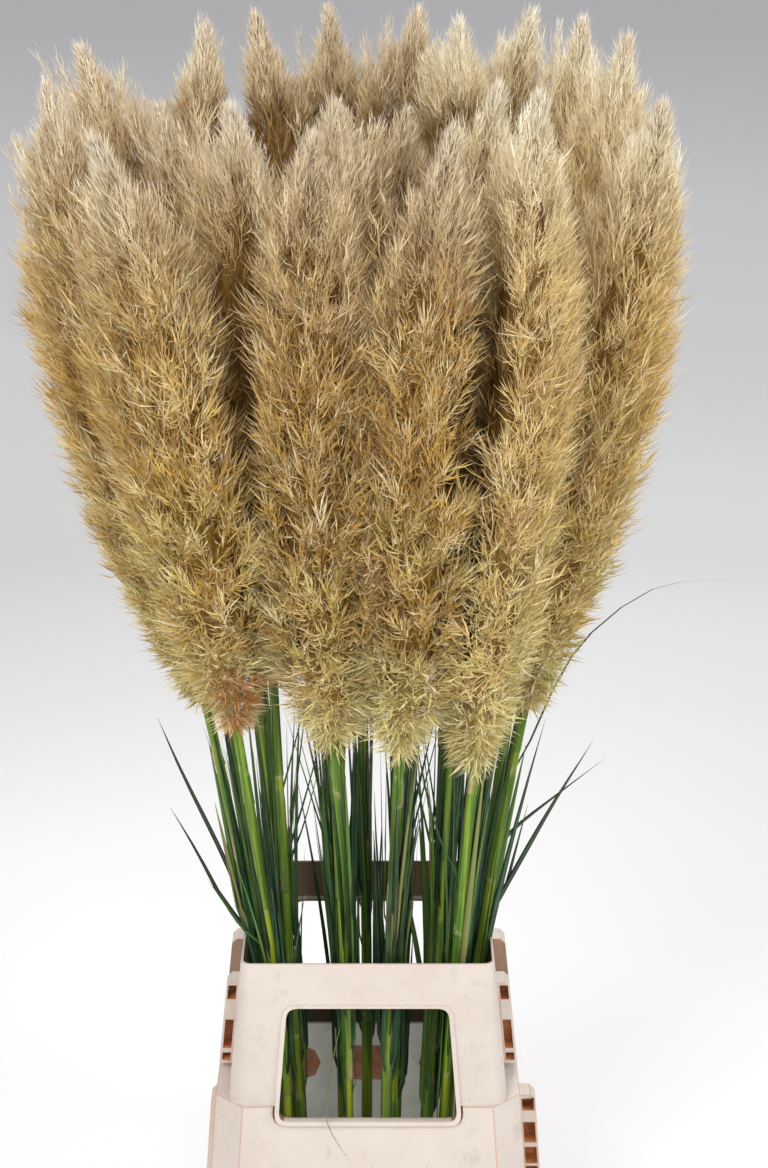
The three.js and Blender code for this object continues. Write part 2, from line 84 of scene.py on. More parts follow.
class Tree:
    """A node tree under construction."""

    def __init__(self, tree):
        self.tree = tree

    def node(self, kind, inputs=None, output=0, **settings):
        made = self.tree.nodes.new(kind)
        for name, value in settings.items():
            setattr(made, name, value)
        for key, value in (inputs or {}).items():
            socket = made.inputs[key]
            if isinstance(value, Link):
                self.tree.links.new(value.socket, socket)
            else:
                socket.default_value = (*value, 1.0) if socket.type == "RGBA" else value
        return Link(self, made.outputs[output]) if made.outputs else made

    def named(self, label, kind="FLOAT"):
        """A mesh's own attribute."""
        return self.node("GeometryNodeInputNamedAttribute", {"Name": label}, data_type=kind)

    def dressed(self, geometry, material):
        """Ends a tree for Geometry Nodes."""
        inputs = {"Geometry": geometry, "Material": material}
        self.node("NodeGroupOutput", {0: self.node("GeometryNodeSetMaterial", inputs)})
        return self.tree


class Finish(Tree):
    """One material."""

    def __init__(self, name):
        self.material = bpy.data.materials.new(name)
        self.material.use_nodes = True
        self.material.node_tree.nodes.clear()
        super().__init__(self.material.node_tree)

    def mix(self, factor, first, second):
        inputs = {0: factor, 6: first, 7: second}
        return self.node("ShaderNodeMix", inputs, output=2, data_type="RGBA")

    def layered(self, colour, *layers):
        """Lays colours over a first one, each as strongly as its factor says."""
        for factor, over in layers:
            colour = self.mix(factor, colour, over)
        return colour

    def ramp(self, value, *stops):
        made = self.node("ShaderNodeValToRGB", {"Fac": value})
        elements = made.socket.node.color_ramp.elements
        while len(elements) < len(stops):
            elements.new(1.0)
        for element, (position, colour) in zip(elements, stops):
            element.position = position
            element.color = (*colour, 1.0)
        return made

    def noise(self, vector, scale, detail=3.0, roughness=0.5):
        inputs = {"Vector": vector, "Scale": scale, "Detail": detail, "Roughness": roughness}
        return self.node("ShaderNodeTexNoise", inputs)

    def attributes(self, *names, output="Fac"):
        return [self.node("ShaderNodeAttribute", output=output, attribute_name=name)
                for name in names]

    def fibre(self):
        """A place along the growth of hairs, blades and culms."""
        return self.attributes("fibre", output="Vector")[0]

    def place(self, stretch=(1, 1, 1), offset=(0, 0, 0)):
        """Object coordinates, stretched for a longer pattern."""
        start = self.node("ShaderNodeTexCoord", output="Object")
        inputs = {"Vector": start, "Scale": stretch, "Location": offset}
        return self.node("ShaderNodeMapping", inputs)

    def surface(self, colour, roughness, height=None, bump=0.3, depth=0.001, **constants):
        inputs = {"Base Color": colour, "Roughness": roughness}
        if height is not None:
            heights = {"Strength": bump, "Distance": depth, "Height": height}
            inputs["Normal"] = self.node("ShaderNodeBump", heights)
        inputs.update({name.replace("_", " "): value for name, value in constants.items()})
        shader = self.node("ShaderNodeBsdfPrincipled", inputs)
        self.node("ShaderNodeOutputMaterial", {"Surface": shader})
        return self.material


# ---- Finishes ----

def plume_finish():
    """Straw-coloured seed hairs: golden on the outside, pale and silky at the tips, painted brown
    inside as shade.

    Height runs up a plume, depth out from its core, and reach along a hair; low depth is painted
    shade. Tone is a hair's own, and tuft a branch's own, its tufts painted lit and shaded. Warmth
    runs from pale through golden to red-brown: its pale end is painted light on the right bunch and
    on the middle bunch's feet, and some of its red-brown is painted shade where plumes face the
    middle.
    """
    f = Finish("dry_plume_hair")
    height, depth, reach = f.attributes("height", "depth", "reach")
    tone, tuft, warmth = f.attributes("tone", "tuft", "warmth")
    streak = f.noise(f.fibre(), 420, 2)
    patch = f.noise(f.fibre(), 48, 2, 0.6)
    clump = f.noise(f.place(), 16, 3, 0.6)
    golden = f.ramp(height, (0, (0.84, 0.8, 0.38)), (0.25, (0.88, 0.66, 0.18)),
                    (0.55, (0.86, 0.6, 0.15)), (0.78, (0.92, 0.72, 0.31)),
                    (0.92, (0.99, 0.9, 0.66)), (1, (1, 0.97, 0.87)))
    # Painted light: low warmth lightens the hairs and eases their painted shade, on the right bunch
    # and on the middle bunch's feet, which the lamps leave darker.
    painted_lightening = warmth.band(0.25, -0.25)
    plain = 1 - painted_lightening * 0.4
    below_crest = height.band(1, 0.8)
    light = painted_lightening * height.band(0.95, 0.7) * 0.4
    warm = warmth * 0.5 * (height.band(0, 0.25) * 0.4 + 0.6)
    greenish = height.band(0.7, 0) * clump.band(0.42, 0.58) * 0.8
    russet = height.band(0.1, 0.3) * clump.band(0.45, 0.28) * 0.55
    rusty = warmth.band(1.2, 2.2) * 0.95
    # Painted light and shade: each branch's tuft is lit or shaded as a unit, shaded more below the
    # crest.
    painted_lit_tuft = tuft.band(0.5, 0.95) * 0.48
    shaded = tuft.band(0.5, 0.05) * (below_crest * 0.35 + 0.3) * plain
    # Painted shade: dark brown patches for the shaded gaps between tufts, deeper below the crest.
    hollow = patch.band(0.47, 0.33) * (below_crest * 0.4 + 0.2) * plain
    pale = tone.band(0.72, 0.95) * 0.58
    dull = tone.band(0.4, 0) * 0.38
    tipped = reach.band(0.3, 1) * (height.band(0.6, 1) * 0.46 + 0.15)
    hair = f.layered(
        golden,
        (light, (0.98, 0.79, 0.42)), (warm, (0.5, 0.26, 0.03)),
        (greenish, (0.72, 0.72, 0.3)), (russet, (0.66, 0.38, 0.18)),
        (rusty, (0.62, 0.24, 0.075)), (painted_lit_tuft, (0.97, 0.86, 0.56)),
        (shaded, (0.36, 0.18, 0.03)), (hollow, (0.3, 0.15, 0.025)),
        (pale, (0.97, 0.88, 0.62)), (dull, (0.4, 0.22, 0.045)),
        (tipped, (1, 0.96, 0.84)))
    # Painted shade: where depth is low, deep in a plume and where neighbours crowd it, hairs and
    # core turn dark brown.
    dark = f.mix(streak.band(0.3, 0.7), (0.1, 0.043, 0.009), (0.31, 0.16, 0.03))
    colour = f.mix(depth.band(0.8, 0.3) * 0.9, hair, dark)
    return f.surface(colour, 0.6, Specular_IOR_Level=0.12)


def culm_finish():
    """Fresh culm: yellow-green with darker runs, a leaf sheath of deeper green, torn dry scars."""
    f = Finish("green_culm")
    sheath, pale, dry, tone = f.attributes("sheath", "pale", "dry", "tone")
    fine = f.noise(f.fibre(), 900, 2)
    broad = f.noise(f.fibre(), 220, 2)
    bare = f.mix(broad.band(0.35, 0.68), (0.15, 0.27, 0.016), (0.5, 0.57, 0.045))
    wrapped = f.mix(broad.band(0.4, 0.7), (0.07, 0.18, 0.018), (0.3, 0.42, 0.035))
    straw = f.mix(fine, (0.52, 0.42, 0.2), (0.3, 0.17, 0.07))
    colour = f.layered(
        bare,
        (sheath, wrapped), (fine.band(0.5, 0.72) * 0.5, (0.4, 0.48, 0.07)),
        (tone * 0.4, (0.035, 0.075, 0.018)), (dry, straw), (pale, (0.74, 0.66, 0.42)))
    return f.surface(colour, 0.36 + 0.2 * fine, fine, 0.4, 0.0006, Specular_IOR_Level=0.28)


def blade_finish():
    """Narrow leaf blade: dark bluish green with a pale midrib, fine long veins and dry tips."""
    f = Finish("leaf_blade")
    across, along, tone = f.attributes("across", "along", "tone")
    vein = f.noise(f.fibre(), 1500, 2)
    green = f.mix(vein.band(0.35, 0.7), (0.012, 0.05, 0.024), (0.042, 0.125, 0.048))
    midrib = across.math("ABSOLUTE", across).band(0.2, 0.02)
    dry = (along.band(0.86, 1) + tone.band(0.93, 0.97) * 0.8).clamped()
    colour = f.layered(
        green,
        (tone.band(0.45, 1) * 0.8, (0.15, 0.28, 0.045)),
        (tone.band(0.3, 0) * 0.75, (0.03, 0.038, 0.032)),
        (midrib * 0.4, (0.26, 0.32, 0.13)), (dry * 0.7, (0.36, 0.28, 0.13)))
    return f.surface(colour, 0.42 + 0.15 * vein, vein, 0.3, 0.0004, Specular_IOR_Level=0.28)


RIM_SHADE = (266, 272)  # painted shade: above these heights the bucket's lining turns dark


def plastic_finish(name, lining, rim, through, edge=0):
    """Cream moulded plastic: mottle and scuffs outside, red-brown painted shade in nooks,
    orange-brown painted shade on the edges, and a worn lining whose colour is painted light and
    shade.

    Below the lining's rim, painted dark as shade, a painted glow stands in for the little light
    that the thin wall lets through.
    """
    f = Finish(name)
    spot = f.place()
    inner, nook = f.attributes("inner", "nook")
    mottle = f.noise(spot, 9, 5, 0.6)
    stain = f.noise(f.place((1, 1, 1), (3, 1, 0)), 26, 6, 0.7)
    speck = f.noise(spot, 240, 2)
    scuff = f.noise(f.place((1, 1, 6)), 40, 5, 0.75)
    cream = f.mix(mottle.band(0.35, 0.68), (0.685, 0.61, 0.545), (0.63, 0.545, 0.48))
    outside = f.layered(
        cream,
        (stain.band(0.54, 0.72) * 0.65, (0.52, 0.455, 0.4)),
        (scuff.band(0.6, 0.72) * 0.4, (0.4, 0.35, 0.31)),
        (speck.band(0.71, 0.76) * 0.6, (0.24, 0.16, 0.11)))
    height = f.node("ShaderNodeSeparateXYZ", {0: spot}, output="Z")
    # Painted shade: the lining turns dark at its rim; below the rim a painted glow stands in for
    # light through the thin wall.
    below_rim = height.band(RIM_SHADE[1] * MM, RIM_SHADE[0] * MM)
    worn = f.mix(stain.band(0.35, 0.75), lining, [0.7 * value for value in lining])
    inside = f.mix(below_rim, rim, worn)
    # Painted shade: nooks, found by blocked rays, turn red-brown.
    nook_shade_colour = f.mix(stain.band(0.35, 0.65), (0.68, 0.32, 0.14), (0.34, 0.11, 0.035))
    # Painted shade: orange-brown on the rounded edges.
    colour = f.layered(outside, (inner, inside), (nook, nook_shade_colour), (edge, (0.56, 0.27, 0.13)))
    glow = f.mix(inner * (1 - nook) * below_rim, (0, 0, 0), through)
    return f.surface(colour, 0.42 + 0.22 * mottle, scuff + speck * 0.5, 0.15, 0.0006,
                     Emission_Color=glow, Emission_Strength=1)


def water_finish():
    f = Finish("still_water")
    ripple = f.noise(f.place(), 18, 2)
    colour = f.mix(ripple, (0.55, 0.66, 0.6), (0.68, 0.76, 0.7))
    return f.surface(colour, 0.04 + 0.04 * ripple, ripple, 0.1, 0.001,
                     Transmission_Weight=0.7, IOR=1.33)


# The floor's greys, a painted pool of light set against the lamps' falloff: how far out, as the
# root of the distance over FLOOR_SPAN, and how light.
FLOOR_SPAN = 20
FLOOR_GREYS = [(0, 0.93), (0.15, 0.93), (0.217, 0.9), (0.273, 0.82), (0.332, 0.69), (0.4, 0.6),
               (0.481, 0.72), (0.529, 0.8), (0.585, 0.77), (0.734, 0.69), (0.98, 0.67)]


def floor_finish():
    """A pale floor, greyer far away: a painted pool of light round the part."""
    f = Finish("studio_floor")
    away = f.node("ShaderNodeVectorMath", {0: f.place()}, output="Value", operation="LENGTH")
    stops = [(share, (grey, grey, grey)) for share, grey in FLOOR_GREYS]
    return f.surface(f.ramp((away / FLOOR_SPAN) ** 0.5, *stops), 0.8)


# ---- Rules of numbers ----

def smoothstep(value, low, high):
    """0 up to low, 1 from high, smooth between."""
    s = np.clip((value - low) / (high - low), 0, 1)
    return s * s * (3 - 2 * s)


def bell(offset, width):
    """1 at no offset, and nothing a few widths away."""
    return np.exp(-(offset / width) ** 2)


def compass(angle):
    """Unit directions on the level."""
    return np.stack([np.cos(angle), np.sin(angle)], axis=-1)


# ---- Stems: the lines that all the rest follows ----

FOOT_HEIGHT = 4.3
MOUTH_HEIGHT = 500.0
FOOT_PULL = np.array([0.74, 0.66])  # a foot's place over the place in the mouth
FOOT_RADIUS, NECK_RADIUS = 6.6, 4.4
TIP_FLARE = 1.2  # how much more than straight a tip leans
BUNCH_ENDS = (6, 13, 20)  # the three bunches end before these stems

# Where each stem crosses the collar's mouth, its plume's tip, and the height its plume begins at.
STEMS = [
    ((-112, -118), (-250, -270, 1470), 800),
    ((-136, -66), (-345, -130, 1500), 800),
    ((-94, -78), (-130, -170, 1480), 840),
    ((-136, 8), (-305, 60, 1520), 860),
    ((-100, -8), (-220, 10, 1460), 900),
    ((-118, 80), (-210, 240, 1530), 880),
    ((-28, -120), (-70, -270, 1470), 775),
    ((26, -120), (80, -280, 1480), 765),
    ((-30, -50), (-35, -120, 1480), 860),
    ((34, -40), (35, -60, 1465), 880),
    ((-40, 50), (-125, 250, 1540), 880),
    ((-4, 95), (-45, 300, 1545), 860),
    ((40, 55), (40, 250, 1545), 880),
    ((104, -120), (185, -250, 1510), 745),
    ((84, -56), (130, -110, 1500), 840),
    ((136, -66), (328, -90, 1480), 790),
    ((136, 10), (305, 90, 1530), 850),
    ((122, 84), (265, 235, 1535), 880),
    ((84, 20), (115, 170, 1540), 900),
    ((88, 92), (180, 285, 1540), 870),
]


def bunch_of(index):
    """0, 1 or 2 for the left, the middle or the right bunch."""
    return next(place for place, end in enumerate(BUNCH_ENDS) if index < end)


def hermite(start, end, start_slope, end_slope, run, share):
    """A cubic with given ends and end slopes."""
    s2, s3 = share ** 2, share ** 3
    return (start * (2 * s3 - 3 * s2 + 1) + end * (3 * s2 - 2 * s3)
            + run * (start_slope * (s3 - 2 * s2 + share) + end_slope * (s3 - s2)))


def centre_at(index, height):
    """The middle of a stem, or of its plume, at each height."""
    mouth, tip, _ = STEMS[index]
    height = np.asarray(height, float)
    mouth, top = np.array(mouth, float), np.array(tip[:2], float)
    foot = mouth * FOOT_PULL
    rise, reach = MOUTH_HEIGHT - FOOT_HEIGHT, tip[2] - MOUTH_HEIGHT
    lower, upper = (mouth - foot) / rise, (top - mouth) / reach
    bend = (lower + upper) / 2
    low = ((height - FOOT_HEIGHT) / rise)[..., None]
    high = ((height - MOUTH_HEIGHT) / reach)[..., None]
    below = hermite(foot, mouth, lower, bend, rise, low)
    above = hermite(mouth, top, bend, upper * TIP_FLARE, reach, high)
    flat = np.where(height[..., None] <= MOUTH_HEIGHT, below, above)
    return np.concatenate([flat, height[..., None]], axis=-1)


# ---- Meshes ----

def new_object(name, data):
    made = bpy.data.objects.new(name, data)
    bpy.context.scene.collection.objects.link(made)
    return made


def mesh_object(name, points, edges=(), faces=(), run=0, **attributes):
    """An object from millimetre points with named attributes. A run makes lines that long."""
    if run:
        edges = [(i, i + 1) for i in range(len(points) - 1) if (i + 1) % run]
    mesh = bpy.data.meshes.new(name)
    mesh.from_pydata((np.asarray(points, float) * MM).tolist(), list(edges), list(faces))
    for label, values in attributes.items():
        add_attribute(mesh, label, values)
    return new_object(name, mesh)


def add_attribute(mesh, label, values, domain="POINT"):
    values = np.asarray(values, np.float32)
    kind, field = ("FLOAT_VECTOR", "vector") if values.ndim == 2 else ("FLOAT", "value")
    mesh.attributes.new(label, kind, domain).data.foreach_set(field, values.ravel())


def plain_result(obj, name):
    """An object with modifiers, made one with a plain mesh."""
    graph = bpy.context.evaluated_depsgraph_get()
    mesh = bpy.data.meshes.new_from_object(
        obj.evaluated_get(graph), preserve_all_data_layers=True, depsgraph=graph)
    mesh.name = name
    bpy.data.objects.remove(obj)
    return new_object(name, mesh)


def joined(name, objects):
    """Several objects' meshes in one, each with its own material."""
    whole = bmesh.new()
    mesh = bpy.data.meshes.new(name)
    for slot, obj in enumerate(objects):
        start = len(whole.faces)
        whole.from_mesh(obj.data)
        whole.faces.ensure_lookup_table()
        for face in whole.faces[start:]:
            face.material_index = slot
        mesh.materials.append(obj.data.materials[0])
        bpy.data.objects.remove(obj)
    whole.to_mesh(mesh)
    whole.free()
    return new_object(name, mesh)


def tube_cells(rows, sides):
    """The corners of a tube's cells: two in a ring and the two above."""
    for row in range(rows - 1):
        for side in range(sides):
            a, b = row * sides + side, row * sides + (side + 1) % sides
            yield row, a, b, a + sides, b + sides


def tube_ends(rows, sides):
    last = (rows - 1) * sides
    return [tuple(reversed(range(sides))), tuple(range(last, last + sides))]


def run_tree(obj, tree, name, **values):
    """Runs a Geometry Nodes tree on an object."""
    modifier = obj.modifiers.new(name, "NODES")
    modifier.node_group = tree
    for item in tree.interface.items_tree:
        if item.in_out == "INPUT" and item.name in values:
            modifier[item.identifier] = values[item.name]
    return plain_result(obj, name)


def new_tree(name, **sockets):
    """An empty tree for Geometry Nodes, and what its inputs bring: of objects, the geometry."""
    tree = bpy.data.node_groups.new(name, "GeometryNodeTree")
    for label, kind in {"Geometry": "Geometry", **sockets}.items():
        tree.interface.new_socket(label, in_out="INPUT", socket_type="NodeSocket" + kind)
    tree.interface.new_socket("Geometry", in_out="OUTPUT", socket_type="NodeSocketGeometry")
    build = Tree(tree)
    start = build.node("NodeGroupInput")
    given = {label: Link(build, start.socket.node.outputs[label])
             for label in ("Geometry", *sockets)}
    for label in [label for label, kind in sockets.items() if kind == "Object"]:
        inputs = {"Object": given[label]}
        given[label] = build.node("GeometryNodeObjectInfo", inputs, output="Geometry")
    return build, given


LOOSE_BELOW, LOOSENESS = 0.3, 0.5  # hairs splay wider near the foot
TIGHT_ABOVE, TIGHTNESS = 0.78, 1.6  # and less near the top
LEAST_SPLAY, LAST_ROLL = 0.25, 0.9


def spikelet_tree():
    """Sets spikelets along branch lines, rolled, splayed and sized at random."""
    t, given = new_tree("spikelets_on_branches", Spikelet="Object", Core="Object", Step="Float",
                        Splay="Float", Seed="Int", Finish="Material")

    def random(low, high, offset):
        inputs = {2: low, 3: high, 8: given["Seed"] + float(offset)}
        return t.node("FunctionNodeRandomValue", inputs, output=1, data_type="FLOAT")

    def turned(rotation, **angles):
        euler = t.node("ShaderNodeCombineXYZ", angles)
        by = t.node("FunctionNodeEulerToRotation", {"Euler": euler})
        inputs = {"Rotation": rotation, "Rotate By": by}
        return t.node("FunctionNodeRotateRotation", inputs, rotation_space="LOCAL")

    lines = t.node("GeometryNodeMeshToCurve", {"Mesh": given["Geometry"]})
    steps = t.node("GeometryNodeResampleCurve", {"Curve": lines, "Length": given["Step"]},
                   mode="LENGTH")
    aim = t.named("aim", "FLOAT_VECTOR")
    aim = t.node("FunctionNodeAlignRotationToVector", {"Vector": aim}, axis="Z")
    height = t.named("height")
    loose = (LOOSE_BELOW - height).clamped() * LOOSENESS + 1.0
    tight = 1.0 - (height - TIGHT_ABOVE).clamped() * TIGHTNESS
    spread = (random(0.0, 1.0, 2) + LEAST_SPLAY) * given["Splay"] * loose * tight
    rolled = turned(aim, Z=random(-math.pi, math.pi, 1))
    rotation = turned(turned(rolled, X=spread), Z=random(-LAST_ROLL, LAST_ROLL, 3))
    size = t.named("size") * random(0.62, 1.28, 4)
    girth = t.named("girth") * random(0.6, 1.5, 5)
    scale = t.node("ShaderNodeCombineXYZ", {"X": girth, "Y": size, "Z": size})
    inputs = {"Points": steps, "Instance": given["Spikelet"], "Rotation": rotation, "Scale": scale}
    placed = t.node("GeometryNodeInstanceOnPoints", inputs)
    inputs = {"Geometry": placed, "Name": "tone", "Value": random(0.0, 1.0, 6)}
    toned = t.node("GeometryNodeStoreNamedAttribute", inputs, data_type="FLOAT", domain="INSTANCE")
    hairs = t.node("GeometryNodeRealizeInstances", {"Geometry": toned})
    whole = t.node("GeometryNodeJoinGeometry")
    for part in (given["Core"], hairs):
        t.tree.links.new(part.socket, whole.socket.node.inputs[0])
    inputs = {0: t.node("GeometryNodeInputNormal"), 1: t.named("heading", "FLOAT_VECTOR")}
    facing = t.node("ShaderNodeVectorMath", inputs, output="Value", operation="DOT_PRODUCT")
    inward = t.node("FunctionNodeCompare", {0: facing, 1: 0.0}, data_type="FLOAT",
                    operation="LESS_THAN")
    bare = t.node("GeometryNodeFlipFaces", {"Mesh": whole, "Selection": inward})
    for spent in ("aim", "heading"):
        bare = t.node("GeometryNodeRemoveAttribute", {"Geometry": bare, "Name": spent})
    return t.dressed(bare, given["Finish"])


def blade_tree():
    """Sweeps a blade's section along lines, as wide as each line says."""
    t, given = new_tree("blades_on_lines", Section="Object", Finish="Material")
    lines = t.node("GeometryNodeMeshToCurve", {"Mesh": given["Geometry"]})
    inputs = {"Curve": lines, "Normal": t.named("facing", "FLOAT_VECTOR")}
    faced = t.node("GeometryNodeSetCurveNormal", inputs, mode="FREE")
    outline = t.node("GeometryNodeMeshToCurve", {"Mesh": given["Section"]})
    inputs = {"Curve": faced, "Profile Curve": outline, "Scale": t.named("width")}
    swept = t.node("GeometryNodeCurveToMesh", {**inputs, "Fill Caps": True})
    bare = t.node("GeometryNodeRemoveAttribute", {"Geometry": swept, "Name": "facing"})
    whole = t.node("GeometryNodeRealizeInstances", {"Geometry": bare})
    return t.dressed(whole, given["Finish"])


# ---- Plumes ----

PLUME_SEED, NOD_SEED = 4100, 900
BRANCHES = 27200  # all plumes together
CANDIDATES = 4800  # each plume's branches are picked from this many
BRANCH_POINTS = 6
HAIR_STEP = 1.7
HAIR_SPLAY = math.radians(34)
CORE_ROWS, CORE_SIDES = 44, 18
FIRST_BRANCH, LAST_BRANCH = 4.0, 0.97  # millimetres, and a share of the length

PLUME_RADIUS = 102.0
FOOT_POWER, TIP_POWER, PROFILE_PEAK = 0.42, 0.68, 0.481  # ends and height of the profile
NOD, NOD_START = 20.0, 0.7
SAME_BUNCH = -24.0  # how far apart neighbouring plumes stay: here they mingle
OTHER_BUNCH = ([800, 860, 1060, 1200], [30, 2, 4, 34])  # at each height, in other bunches
LEFT_GAP, RIGHT_GAP = 1.3, 0.9  # of that, on either side of the middle bunch
BACK_LIMIT, LEFT_LIMIT = 325.0, 372.0  # branches end before these
SPARSE, CROWDED_FOOT, CROWDED_CREST = 24, 76, 36  # how close the branches stand
FOOT_TOP, CREST_BASE = 0.18, 0.72
LOWEST_END, HIGHEST_END, CREST_RISE = -34.0, 150.0, 30.0  # how far a branch climbs
LOBE_RISE = 0.42  # how unevenly they climb near the top
TIP_SCATTER = 24.0  # how far short of the tip the last ones end

# What changes up a plume: shares of its length, and the value at each.
WAIST = ([0, 0.05, 0.12, 0.35, 0.7, 0.8, 0.9, 1], [0.3, 0.48, 0.68, 1, 1, 0.8, 0.52, 0.25])
LEAN = ([0, 0.03, 0.1, 0.2, 0.4, 0.7, 0.88, 1], [112, 94, 76, 62, 50, 42, 28, 12])  # degrees
LEAN_SCATTER = ([0, 0.25, 0.6], [13, 8, 5])
LOBES = ([0.45, 0.65, 0.9, 1], [0, 1, 1, 0.2])
BRANCH_START = ([0, 0.1, 0.75, 1], [0.25, 0.62, 0.62, 0.2])  # over its length
BRANCH_SHADE = ([0, 0.22, 0.76, 0.9], [0.25, 1, 1, 0.3])
HAIR_LENGTH = ([0, 0.1, 0.4, 0.7, 0.85, 1], [0.024, 0.028, 0.034, 0.033, 0.027, 0.019])  # metres
HAIR_GIRTH = ([0, 0.25, 0.5, 0.8, 1], [1.45, 1.35, 1.1, 0.95, 0.8])
CORE_FILL = ([0, 0.1, 0.3, 0.7, 1], [0.3, 0.5, 0.6, 0.56, 0.2])
# The core's depth, which sets its painted shade: lower is darker.
CORE_DEPTH = ([0, 0.22], [0.62, 0.3])

# How much the outer side of a bunch is drawn in: the bunch, the side, shares and how much.
TUCKS = {0: (-1, [0.35, 0.5], [0.28, 0.04]), 2: (1, [0.38, 0.5, 0.75], [0.46, 0.32, 0.38])}

# Warmth of each bunch; the right bunch's low warmth lightens it, painted light where the key lamp
# leaves it darker.
BUNCH_WARMTH, WARMTH_SCATTER = (0.55, 0.85, -0.1), 0.25
FOOT_WARMTH = (0.5, -1.1, 0.5)  # added at the feet of each bunch's plumes; the middle bunch's minus value is painted light on shaded feet
RUSSET_PLUME, RUSSET = 0, 1.9  # the one with a stained foot, and how red-brown it is
RUSSET_SIDE = (0.45, -0.9, 0)
SHADY_PLUMES = (10, 11, 12, 18)  # painted shade: brown towards the hollow in the middle


def plume_middle(index, height):
    """The middle of a plume's hairs: its tip nods a little to one side."""
    centre = centre_at(index, height)
    _, tip, base = STEMS[index]
    nod = np.random.default_rng(NOD_SEED + index).uniform(-1, 1, 2) * NOD
    share = (np.asarray(height, float) - base) / (tip[2] - base)
    bent = np.clip((share - NOD_START) / (1 - NOD_START), 0, 1) ** 2
    centre[..., :2] += nod * bent[..., None]
    return centre


def plume_reach(share):
    """How far hairs stand out from a plume's middle, by the share of its length."""
    s = np.clip(share, 0.002, 0.998)
    return PLUME_RADIUS * s ** FOOT_POWER * (1 - s) ** TIP_POWER / PROFILE_PEAK


def hair_reach(share):
    """The reach of the hairs' own branches."""
    return plume_reach(share) * np.interp(share, *WAIST)


def tucked(index, share, heading):
    """The share of its reach that a plume keeps."""
    side, *amounts = TUCKS.get(bunch_of(index), (0, [0], [0]))
    return 1 - np.interp(share, *amounts) * np.clip(side * heading[:, 0], 0, 1) ** 2


def free_reach(index, height, direction):
    """How far a plume may reach before the plane half way to a neighbour."""
    centre = centre_at(index, height)[:, :2]
    limit = np.full(len(height), 1e3)
    for other, (_, tip, base) in enumerate(STEMS):
        if other == index:
            continue
        gap = SAME_BUNCH
        if bunch_of(other) != bunch_of(index):
            at_left = {bunch_of(other), bunch_of(index)} == {0, 1}
            gap = np.interp(height, *OTHER_BUNCH) * (LEFT_GAP if at_left else RIGHT_GAP)
        apart = centre - centre_at(other, height)[:, :2]
        closing = gap - (direction * apart).sum(1)
        room = ((apart ** 2).sum(1) - gap ** 2) / (2 * np.maximum(closing, 1e-6))
        there = (height > base - 20) & (height < tip[2] + 30) & (closing > 1e-6)
        limit = np.where(there, np.minimum(limit, np.maximum(room, 8)), limit)
    return limit


def spikelet_pattern():
    """One fine seed hair, 1 unit long and curved towards its branch."""
    points = [(0, 0, 0), (-0.58, -140, 430), (0.58, -140, 430), (0, 0, 1000)]
    return mesh_object("spikelet", points, faces=[(0, 1, 2), (2, 1, 3)], reach=[0, 0.4, 0.4, 1.0])


def branch_shares(draw):
    """Where a plume's branches leave it, as shares of its length."""
    grid = np.linspace(0, LAST_BRANCH, 300)
    crowd = plume_reach(np.clip(grid + 0.12, 0, LAST_BRANCH)) + SPARSE
    crowd = crowd + CROWDED_FOOT * (grid < FOOT_TOP) + CROWDED_CREST * (grid > CREST_BASE)
    crowd = np.cumsum(crowd)
    crowd = (crowd - crowd[0]) / (crowd[-1] - crowd[0])
    return np.interp((np.arange(CANDIDATES) + draw.random(CANDIDATES)) / CANDIDATES, crowd, grid)


def branch_candidates(index, draw):
    """Places for side branches, with how far each reaches and how freely."""
    _, tip, base = STEMS[index]
    length = tip[2] - base
    share = branch_shares(draw)
    turn = np.arange(CANDIDATES) * GOLDEN_TURN + draw.normal(0, 0.1, CANDIDATES)
    scatter = draw.normal(0, 1, CANDIDATES) * np.interp(share, *LEAN_SCATTER)
    slope = np.tan(np.clip(np.radians(np.interp(share, *LEAN) + scatter), 0.17, 2.1))
    stretch = draw.uniform(0.72, 0.99, CANDIDATES)
    stretch = stretch + np.where(draw.random(CANDIDATES) > 0.95, 0.09, 0)
    height = base + FIRST_BRANCH + share * length
    fullness = draw.uniform(0.8, 1.25)
    lobes = np.cos(turn * draw.integers(3, 6) + draw.uniform(0, 6))
    lobes = lobes + draw.normal(0, 0.3, CANDIDATES)
    eager = 1 + LOBE_RISE * lobes * np.interp(share, *LOBES)
    highest = np.maximum(tip[2] + 4 - draw.exponential(TIP_SCATTER, CANDIDATES) - height, 8)
    heading = compass(turn)
    stretch = stretch * tucked(index, share, heading)
    rise = np.zeros(CANDIDATES)
    for _ in range(3):
        level = (height + rise - base) / length
        wanted = hair_reach(level) * stretch * np.interp(level, [0.65, 0.85], [1, fullness])
        rise = np.clip(wanted / slope, LOWEST_END, HIGHEST_END) * eager
        rise = np.where(share > 0.8, np.maximum(rise, CREST_RISE), rise)
        rise = np.minimum(rise, highest)
    clipped = np.minimum(wanted, free_reach(index, height + rise, heading))
    openness = clipped / np.maximum(wanted, 1)
    worth = np.where(openness > 0.97, 1.0, openness ** 2 * 0.6)
    worth = np.where(share > CREST_BASE, np.maximum(worth, 0.7), worth)
    return share, turn, height, rise, clipped, openness, worth


def branch_counts():
    """Shares the branches out, most to the plumes with the most free surface."""
    draws = [np.random.default_rng(PLUME_SEED + index) for index in range(len(STEMS))]
    worths = [branch_candidates(index, draw)[-1].sum() for index, draw in enumerate(draws)]
    return np.round(np.array(worths) / sum(worths) * BRANCHES).astype(int)


def held_back(out, angle, centre):
    """Stops branches that would reach too far back or too far left."""
    for away, limit, middle in ((np.sin(angle), BACK_LIMIT, centre[:, 1]),
                                (-np.cos(angle), LEFT_LIMIT, -centre[:, 0])):
        room = (limit - middle) / np.maximum(away, 0.05)
        out = np.where(away > 0.05, np.minimum(out, room), out)
    return out


